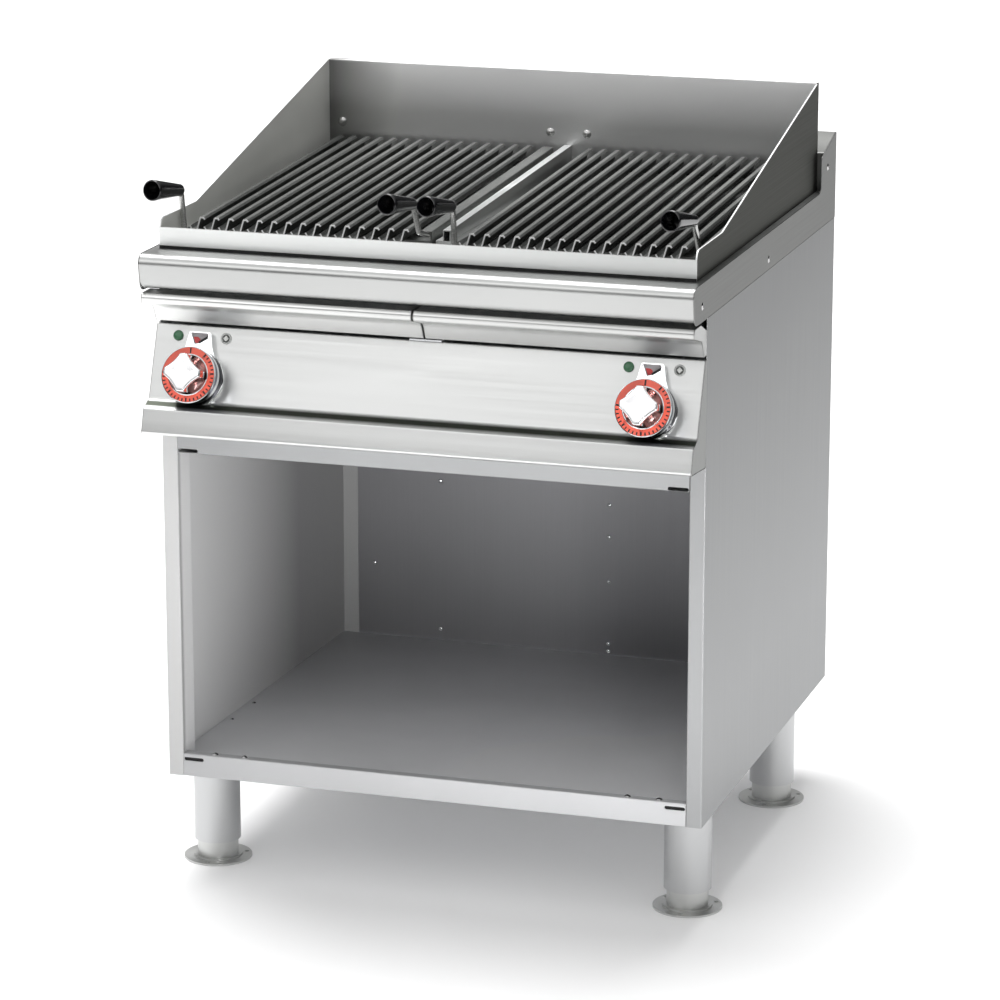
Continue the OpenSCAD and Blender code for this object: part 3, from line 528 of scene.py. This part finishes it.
def join_rings(bm, rings, slot_index=0):
    """Faces between rings of equally many points."""
    for a, b in zip(rings, rings[1:]):
        for k in range(len(a)):
            j = (k + 1) % len(a)
            bm.faces.new((a[k], a[j], b[j], b[k])).material_index = slot_index


def tube(bm, points, radius, place, around=20, corner=9):
    """A round rod along points, its corners bent to a radius."""
    p = [Vector(q) for q in points]
    path = [p[0]]
    for a, c, b in zip(p, p[1:], p[2:]):
        u, v = (a - c).normalized(), (b - c).normalized()
        half = u.angle(v) / 2
        middle = c + (u + v).normalized() * (corner / math.sin(half))
        start = c + u * (corner / math.tan(half)) - middle
        end = c + v * (corner / math.tan(half)) - middle
        for k in range(9):
            path.append(middle + start.slerp(end, k / 8) if start.angle(end) > 1e-4 else middle + start)
    path.append(p[-1])
    up = Vector((0, 0, 1)) if abs((path[1] - path[0]).normalized().z) < 0.9 else Vector((1, 0, 0))
    rings = []
    for i, q in enumerate(path):
        ahead = (path[min(i + 1, len(path) - 1)] - path[max(i - 1, 0)]).normalized()
        up = (up - ahead * up.dot(ahead)).normalized()
        side = ahead.cross(up)
        rings.append([bm.verts.new(place @ (q + radius * (math.cos(w) * up + math.sin(w) * side)))
                      for w in (k * math.tau / around for k in range(around))])
    join_rings(bm, rings)
    bm.faces.new(rings[0][::-1])
    bm.faces.new(rings[-1])


SHARP = 38    # degrees


def piece(name, bm, body, *materials, stands_for=(), bevel=0.0, smooth=SHARP):
    """Makes the object, shades it smooth except at its sharp edges, and ties it to its body."""
    bmesh.ops.recalc_face_normals(bm, faces=bm.faces)
    mesh = bpy.data.meshes.new(name)
    bm.to_mesh(mesh)
    bm.free()
    for m in materials:
        mesh.materials.append(m)
    obj = bpy.data.objects.new(name, mesh)
    scene.collection.objects.link(obj)
    shade(mesh, smooth)
    if bevel:
        soften(obj, bevel)
    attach(obj, body)
    if stands_for:
        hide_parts(*stands_for)
    return obj


def shade(mesh, smooth):
    """Smooth shading, apart from edges sharper than an angle in degrees."""
    mesh.shade_smooth()
    mesh.set_sharp_from_angle(angle=math.radians(smooth))


def soften(obj, width):
    """A narrow round along sharp edges, as worn sheet and castings have."""
    mod = obj.modifiers.new("edges", "BEVEL")
    mod.width = width * MM
    mod.segments = 2
    mod.limit_method = "ANGLE"
    mod.angle_limit = math.radians(40)
    mod.harden_normals = False


def block(bm, low, high):
    """A box between two corners."""
    extrude(bm, [(low[0], low[1]), (high[0], low[1]), (high[0], high[1]), (low[0], high[1])],
            FLAT_ON, low[2], high[2])


def holed(bm, outer, hole, place, low, high):
    """An extrusion with one opening right through it."""
    rings = [[Vector((p[0], p[1], 0)) for p in ring] for ring in (outer, hole)]
    layers = [[bm.verts.new(place @ Vector((p.x, p.y, h))) for p in rings[0] + rings[1]] for h in (low, high)]
    for corners in tessellate_polygon(rings):
        for layer in layers:
            bm.faces.new([layer[i] for i in corners])
    for start, ring in ((0, rings[0]), (len(rings[0]), rings[1])):
        for i in range(len(ring)):
            a, b = start + i, start + (i + 1) % len(ring)
            bm.faces.new((layers[0][a], layers[0][b], layers[1][b], layers[1][a]))


def cut(obj, cutter_bm):
    """Takes a shape out of an object for good."""
    bmesh.ops.recalc_face_normals(cutter_bm, faces=cutter_bm.faces)
    mesh = bpy.data.meshes.new("cutter")
    cutter_bm.to_mesh(mesh)
    cutter_bm.free()
    cutter = bpy.data.objects.new("cutter", mesh)
    scene.collection.objects.link(cutter)
    mod = obj.modifiers.new("cut", "BOOLEAN")
    mod.operation = "DIFFERENCE"
    mod.solver = "EXACT"
    mod.object = cutter
    others = [m for m in obj.modifiers if m is not mod]
    for m in others:
        m.show_viewport = False
    bpy.context.view_layer.update()
    result = bpy.data.meshes.new_from_object(obj.evaluated_get(bpy.context.evaluated_depsgraph_get()))
    obj.modifiers.remove(mod)
    for m in others:
        m.show_viewport = True
    obj.data = result
    bpy.data.objects.remove(cutter)
    shade(result, SHARP)


# ---------------------------------------------------------------- hob, drawers and control panel

SIDES = ((-1, "left"), (1, "right"))
HOB_Z = 933
NOSE_OUT = 78
NOSE_H = 49.5
HALF_W = 400
SHEET = 1.5
WELL_X, WELL_Y0, WELL_Y1 = 387.2, -21.8, 680.1
WELL_SHADOW_X = 388.9

bm = bmesh.new()
nose = [(690, HOB_Z - 3.5), (690, HOB_Z), (-NOSE_OUT, HOB_Z), (8 - NOSE_OUT, HOB_Z - NOSE_H),
        (-30, HOB_Z - NOSE_H), (-30, HOB_Z - NOSE_H + 9)]
extrude(bm, bent(nose, [0, 1.7, 14, 15, 2, 0], SHEET), SIDE_ON, -HALF_W + SHEET - 0.1, HALF_W - SHEET + 0.1)
hob = piece("hob_sheet", bm, "cabinet", hob_steel, stands_for=["hob_top"], bevel=0.3)
bm = bmesh.new()
block(bm, (-WELL_X, WELL_Y0, HOB_Z - 12), (WELL_X, WELL_Y1, HOB_Z + 12))
cut(hob, bm)

cheek = rounded([(-40, HOB_Z - 53), (8 - NOSE_OUT, HOB_Z - 52), (-NOSE_OUT, HOB_Z + 0.5), (666, HOB_Z + 0.5),
                 (666, HOB_Z + 53), (760, HOB_Z + 79), (760, HOB_Z - 53)],
                [2, 14, 14, 12, 6, 3, 0], closed=True)
for side, word in SIDES:
    bm = bmesh.new()
    extrude(bm, cheek, SIDE_ON, *both_ways(side, HALF_W - SHEET, HALF_W))
    piece("hob_apron_" + word, bm, "cabinet", apron_steel, stands_for=["hob_top"], bevel=0.35)

# painted shadow: a black strip along the foot of the well's front plate, where it stands on the hob
bm = bmesh.new()
block(bm, (-WELL_SHADOW_X, WELL_Y0 - 0.5, HOB_Z + 0.05), (WELL_SHADOW_X, WELL_Y0 + 0.5, HOB_Z + 4.2))
piece("well_shadow_strip", bm, "cabinet", shadow_line)

LIP_TOP = 877.5
FACE_BOTTOM = 828
for side, word in SIDES:
    lip = [(-34, LIP_TOP), (-70, LIP_TOP), (-69.5, LIP_TOP - 14), (-27, LIP_TOP - 26), (-15, FACE_BOTTOM),
           (-3, FACE_BOTTOM)]
    radii = [0, 7.5, 6, 12, 2, 0]
    end = [Vector((-4, LIP_TOP - 14)), Vector((-34, LIP_TOP - 1))] + rounded(lip, radii)
    x0, x1 = 1.2, HALF_W - 0.7
    bm = bmesh.new()
    extrude(bm, bent(lip, radii, SHEET), SIDE_ON, *both_ways(side, x0, x1))
    front = piece("drawer_lip_" + word, bm, "drawer_" + word, front_steel,
                  stands_for=["drawer_front_" + word], bevel=0.3)
    bm = bmesh.new()
    for x in (x0, x1 - SHEET):
        extrude(bm, end, SIDE_ON, *both_ways(side, x, x + SHEET))
    low, high = both_ways(side, x0, x1)
    block(bm, (low, -13.5, FACE_BOTTOM + 3), (high, -12, LIP_TOP - 17.5))
    ends = piece("drawer_ends_" + word, bm, "drawer_" + word, drawer_end_steel,
                 stands_for=["drawer_front_" + word], bevel=0.25)
    for obj in (front, ends):
        bm = bmesh.new()
        low, high = both_ways(side, 0, 4)
        block(bm, (low, -90, FACE_BOTTOM - 1), (high, 0, FACE_BOTTOM + 15))
        cut(obj, bm)

LEAN = math.radians(20.5)
PANEL_Y, PANEL_Z = -10, 821
PANEL_LEN = 105.7
PANEL_FOOT = 670
POST_X = 372
KNOB_X, KNOB_S = 329.5, 73
LAMP_X, LAMP_S = 36, 14
bottom = (PANEL_Y - PANEL_LEN * math.sin(LEAN), PANEL_Z - PANEL_LEN * math.cos(LEAN))
groove = (bottom[0] - 21, bottom[1] - 10)
skin = [(30, PANEL_Z + 2), (PANEL_Y + 2 * math.tan(LEAN), PANEL_Z + 2), bottom, groove,
        (groove[0] - 11, groove[1] - 35), (-1, PANEL_FOOT), (-1, PANEL_FOOT + 12)]
bm = bmesh.new()
extrude(bm, bent(skin, [0, 3, 5, 3, 4, 1, 0], SHEET), SIDE_ON, -HALF_W + 0.2, HALF_W - 0.2)
panel = piece("control_panel_skin", bm, "cabinet", panel_steel, stands_for=["control_panel"], bevel=0.3)
bm = bmesh.new()
for side in (-1, 1):
    low, high = both_ways(side, POST_X, HALF_W + 1)
    block(bm, (low, -0.5, PANEL_FOOT - 70), (high, 60, PANEL_Z + 79))
cut(panel, bm)
end = [p for p in rounded(skin, [0, 3, 5, 3, 4, 0, 0])
       if p.x < -0.5 and p.y < PANEL_Z + 4 and abs(p.y - PANEL_FOOT - 12) > 0.1]
end += [Vector((-0.6, PANEL_FOOT)), Vector((-0.6, PANEL_Z + 2))]
bm = bmesh.new()
for side in (-1, 1):
    extrude(bm, end, SIDE_ON, *both_ways(side, HALF_W - 0.2 - SHEET, HALF_W - 0.2))
piece("control_panel_ends", bm, "cabinet", end_steel, stands_for=["control_panel"], bevel=0.3)


def on_panel(x, s):
    """Local frame on the control panel: Z out of it, Y up its slope."""
    return row_matrix((x, PANEL_Y - s * math.sin(LEAN), PANEL_Z - s * math.cos(LEAN)), (1, 0, 0),
                      (0, math.sin(LEAN), math.cos(LEAN)), (0, -math.cos(LEAN), math.sin(LEAN)))


# ---------------------------------------------------------------- knobs, dials and lamps

DIAL_R = 40
DIAL_TOP = 39.2
CAP_TOP = 66
CAP_R, BITE_R = 27, 65
BITE_AT = CAP_R * 0.76 + BITE_R
TICKS, FIRST_TICK, LAST_TICK = 26, 38, 272
MAJOR = 5    # every fifth tick is longer and has a number
AROUND = 96


def cap_radius(w):
    """Radius of the four-cornered cap at angle w."""
    off = (w + math.pi / 4) % (math.pi / 2) - math.pi / 4
    off = math.pi / 4 - abs(off)
    reach = BITE_AT * math.sin(off)
    if abs(reach) >= BITE_R:
        return CAP_R
    return min(CAP_R, BITE_AT * math.cos(off) - math.sqrt(BITE_R ** 2 - reach ** 2))


def cap_ring(bm, inset, scale, h, place, around=144):
    """The cap's outline, drawn in by an amount and then scaled."""
    ring = []
    for k in range(around):
        w = k * math.tau / around
        r = (cap_radius(w) - inset) * scale
        ring.append(bm.verts.new(place @ Vector((r * math.cos(w), r * math.sin(w), h))))
    return ring


def clock(angle, r):
    """A point at a clockwise angle from the top, in degrees."""
    w = math.radians(angle)
    return Vector((r * math.sin(w), r * math.cos(w)))


def bar(bm, angle, r0, r1, width, place, low, high, slot_index=0):
    """A narrow radial mark."""
    out = clock(angle, 1)
    across = Vector((out.y, -out.x)) * width / 2
    extrude(bm, [out * r0 - across, out * r1 - across, out * r1 + across, out * r0 + across],
            place, low, high, slot_index)


tick_angles = [FIRST_TICK + k * (LAST_TICK - FIRST_TICK) / (TICKS - 1) for k in range(TICKS)]
for side, word in SIDES:
    place = on_panel(side * KNOB_X, KNOB_S)
    knob_body = "body_knob_" + word

    bm = bmesh.new()
    lathe(bm, [(0, 18), (36, 18), (38.6, 18.4), (39.3, 19.4), (39.5, 27)], place, around=AROUND)
    # painted reflection: this band of the skirt takes the dark blue-grey chrome
    lathe(bm, [(39.5, 27), (39.6, 35.4)], place, around=AROUND, slot_index=2)
    lathe(bm, [(39.6, 35.4), (40, 36), (40, 38), (39.6, 39), (38.9, 39.2), (38.6, 38.6), (38.6, 37),
               (29.6, 37), (29.5, 39), (28.9, 39.2), (28, 38.9), (27.6, 38)], place, around=AROUND)
    # painted reflection: the dish takes the red-tinted chrome
    lathe(bm, [(27.6, 38), (27.2, 36), (26.2, 33.4), (24, 30.4), (19, 28), (0, 27)], place, around=AROUND,
          slot_index=1)
    bmesh.ops.remove_doubles(bm, verts=bm.verts, dist=1e-6)
    piece("knob_skirt_" + word, bm, knob_body, knob_chrome, dish_reflection_chrome, navy_reflection_chrome,
          stands_for=["knob_" + word], smooth=30)

    bm = bmesh.new()
    wall = [cap_ring(bm, inset, 1, h, place)
            for inset, h in ((1.5, 26.5), (1.2, 31), (0.2, 60), (0, CAP_TOP - 2.2), (0.35, CAP_TOP - 0.9),
                             (1.1, CAP_TOP - 0.25), (2.2, CAP_TOP))]
    dish = [cap_ring(bm, 2.2, scale, h, place)
            for scale, h in ((0.8, CAP_TOP - 0.1), (0.55, CAP_TOP - 0.35), (0.3, CAP_TOP - 0.5))]
    join_rings(bm, wall)
    join_rings(bm, wall[-1:] + dish, 1)
    bm.faces.new(dish[-1]).material_index = 1
    bm.faces.new(wall[0][::-1])
    piece("knob_cap_" + word, bm, knob_body, knob_chrome, cap_chrome, stands_for=["knob_" + word])

    bm = bmesh.new()
    lathe(bm, [(29.65, 37.05), (38.5, 37.05), (38.5, 39), (38.3, DIAL_TOP), (29.8, DIAL_TOP), (29.65, 39.1)],
          place, around=AROUND, closed=True)
    for k, angle in enumerate(tick_angles):
        major = k % MAJOR == 0
        bar(bm, angle, 33 if major else 34, 38.1, 2.5 if major else 1.9, place, DIAL_TOP - 0.1,
            DIAL_TOP + 0.12, 1)
    bar(bm, 0, 30.2, 38.1, 2.2, place, DIAL_TOP - 0.1, DIAL_TOP + 0.14, 1)
    piece("dial_ring_" + word, bm, knob_body, dial_red, print_black, stands_for=["dial_" + word], smooth=30)

    for k in range(0, TICKS, MAJOR):
        data = bpy.data.curves.new("numeral", "FONT")
        data.body = str(50 + 10 * k)
        data.size = 4
        data.align_x = data.align_y = "CENTER"
        data.extrude = 0.06
        maker = bpy.data.objects.new("numeral", data)
        scene.collection.objects.link(maker)
        bpy.context.view_layer.update()
        mesh = bpy.data.meshes.new_from_object(maker.evaluated_get(bpy.context.evaluated_depsgraph_get()))
        bpy.data.objects.remove(maker)
        where = clock(tick_angles[k], 31.9)
        mesh.transform(place @ Matrix.Translation((where.x, where.y, DIAL_TOP + 0.04))
                       @ Matrix.Rotation(-math.radians(tick_angles[k]), 4, "Z"))
        mesh.materials.append(print_dark_red)
        obj = bpy.data.objects.new(f"numeral_{word}_{k}", mesh)
        scene.collection.objects.link(obj)
        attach(obj, knob_body)

    bm = bmesh.new()
    # painted shade: the bezel ring's sides take the near-black chrome
    lathe(bm, [(38.9, 4.6), (38.7, 15.6), (38.2, 16.8), (37.2, 17), (36, 16.4), (35.4, 7), (6, 6), (6, 0.05),
               (39.4, 0.05)], place, around=AROUND, slot_index=1)
    lathe(bm, [(39.4, 0.05), (40, 0.8), (40, 3.2), (39.5, 4), (38.9, 4.6)], place, around=AROUND)
    bmesh.ops.remove_doubles(bm, verts=bm.verts, dist=1e-6)
    piece("bezel_ring_" + word, bm, "cabinet", knob_chrome, ring_shade_chrome,
          stands_for=["bezel_" + word], smooth=30)

    hood = rounded([(-26, 28), (26, 28), (20, 44), (16, 65), (-16, 65), (-20, 44)], [0, 0, 20, 4, 2.5, 20],
                   closed=True)
    window = rounded([(-14, 63.3), (12.3, 63.3), (12.6, 58), (-1, 48.4), (-7, 47.6)], [1, 2.5, 1.5, 1, 1],
                     closed=True)
    bm = bmesh.new()
    extrude(bm, hood, place, 0.05, 6.2)
    holed(bm, hood, window, place, 6.1, 10)
    piece("bezel_hood_" + word, bm, "cabinet", knob_chrome, stands_for=["bezel_" + word], bevel=0.35)
    bm = bmesh.new()
    extrude(bm, window, place, 6.15, 7)
    extrude(bm, rounded([(-10.5, 58), (-3, 57.8), (0.6, 54), (-1.6, 49.8), (-6.6, 48.8)], [1, 3, 1.5, 1, 1],
                        closed=True), place, 7, 7.4, 1)
    extrude(bm, [(-1.6, 50.4), (0.6, 48.4), (12.3, 56), (11.6, 59.6)], place, 7, 10.5, 2)
    piece("index_plate_" + word, bm, "cabinet", plate_grey, mark_red, print_black)

    lamp = on_panel(side * KNOB_X - LAMP_X, LAMP_S)
    bm = bmesh.new()
    lathe(bm, [(0, 0.05), (7.4, 0.05), (7.5, 0.5), (7.4, 1.5), (6.9, 2.3), (5.6, 3), (3.4, 3.5), (0, 3.7)],
          lamp, around=48)
    piece("green_lens_" + word, bm, "cabinet", lens_green, stands_for=["green_lamps"], smooth=50)
    lamp = on_panel(side * KNOB_X + LAMP_X, LAMP_S)
    bm = bmesh.new()
    lathe(bm, [(5.5, 0.05), (8, 0.05), (8, 1), (7.4, 1.9), (6.4, 2.2), (5.8, 1.9), (5.5, 1.2)], lamp,
          around=48, closed=True)
    piece("lamp_ring_" + word, bm, "cabinet", lamp_ring, stands_for=["lamp_collars"], smooth=50)
    bm = bmesh.new()
    lathe(bm, [(0, 0.05), (5.4, 0.05), (5.4, 1.2), (4.9, 1.9), (0, 2.1)], lamp, around=48, slot_index=1)
    diamond = [(4.3, 0), (0, 4.3), (-4.3, 0), (0, -4.3)]
    extrude(bm, diamond, lamp, 1.9, 2.6)
    extrude(bm, [(x * 0.66, y * 0.66) for x, y in diamond], lamp, 2.5, 3.4)
    piece("clear_lens_" + word, bm, "cabinet", lens_clear, lamp_dark, stands_for=["clear_lamps"], bevel=0.25)

# ---------------------------------------------------------------- grate handles

GRATE_X, GRATE_Y, GRATE_Z = 201.5, 80.4, 960
FALL = math.radians(2.1)
ELBOW_Z = 44
ROD_Y = -27
GRIP = Vector((-0.18, -0.965, 0.19)).normalized()
GRIP_LEN = 84
for side, word in SIDES:
    place = row_matrix((side * GRATE_X, GRATE_Y, GRATE_Z), (1, 0, 0), (0, math.cos(FALL), math.sin(FALL)),
                       (0, -math.sin(FALL), math.cos(FALL)))
    bm = bmesh.new()
    grips = bmesh.new()
    for x, foot in ((-179, [(-179, ROD_Y, -28)]), (167, [(175, -0.2, -6), (167, ROD_Y, -3)])):
        elbow = Vector((x, ROD_Y, ELBOW_Z))
        tube(bm, foot + [elbow, elbow + GRIP * 46], 4, place, corner=7)
        across = Vector((0, 0, 1)).cross(GRIP).normalized()
        local = axes_matrix(elbow, (across, GRIP.cross(across), GRIP), 1)
        outer = [(4.2, 9), (6.8, 9), (8, 9.8), (8.7, 12), (9, 16)]
        outer += [(9 + 5.9 * k / 8, 16 + (GRIP_LEN - 20) * k / 8) for k in range(1, 9)]
        outer += [(14.9, GRIP_LEN - 2), (14.5, GRIP_LEN - 0.6), (13.8, GRIP_LEN), (13, GRIP_LEN - 0.2),
                  (12.5, GRIP_LEN - 1.5), (12, 64), (11.6, 49), (11, 48), (4.2, 48)]
        lathe(grips, outer, place @ local, around=48, closed=True)
    piece("rods_" + word, bm, "grate_" + word, rod_steel, stands_for=["handle_rods_" + word], smooth=50)
    piece("grips_" + word, grips, "grate_" + word, grip_black, stands_for=["handle_grips_" + word], smooth=50)

# ---------------------------------------------------------------- painted highlight: near-white on the bars' cut ends

BAR = [(-17.9, -13.3), (-15.1, -17.7), (-8.5, -17.7), (-3, 0), (3, 0), (5.2, -2.8)]
BAR_COUNT, BAR_PITCH, FIRST_BAR = 15, 21.86, -163.5
for side, word in SIDES:
    place = row_matrix((side * GRATE_X, GRATE_Y, GRATE_Z), (1, 0, 0), (0, -math.sin(FALL), math.cos(FALL)),
                       (0, math.cos(FALL), math.sin(FALL)))
    bm = bmesh.new()
    section = bent(BAR, [0, 1, 1, 1.2, 1.2, 0], -2)
    for k in range(BAR_COUNT):
        extrude(bm, [p + Vector((FIRST_BAR + k * BAR_PITCH, 0)) for p in section], place, -0.7, 0.4)
    piece("bar_end_highlights_" + word, bm, "grate_" + word, bar_end_highlight_steel)

# ---------------------------------------------------------------- painted highlight: near-white strips along the side guards' front and top edges

GUARD_OUT, GUARD_T = 389, 2
EDGE = [(-20, 940), (-20, 975), (115, 975), (672, 1095.8)]
bm = bmesh.new()
for side in (-1, 1):
    extrude(bm, bent(EDGE, [0, 13, 30, 0], 0.3), SIDE_ON,
            *both_ways(side, GUARD_OUT - GUARD_T - 0.1, GUARD_OUT + 0.1))
piece("guard_edge_highlights", bm, "cabinet", edge_highlight_steel)

# ---------------------------------------------------------------- painted shade: black plates behind the slots of the storage floor

bm = bmesh.new()
for side in (-1, 1):
    low, high = both_ways(side, 343, 377)
    block(bm, (low, 1.7, 170), (high, 2.1, 180))
piece("slot_shade_plates", bm, "cabinet", shadow_line)

# ---------------------------------------------------------------- edges of the CAD parts that stay

for name in ("splash_guard_left", "splash_guard_right", "splash_guard_back", "rear_upstand", "well_frame",
             "left_side_panel", "right_side_panel", "base_shelf", "header_rail", "centre_divider"):
    soften(nodes[name], 0.4)
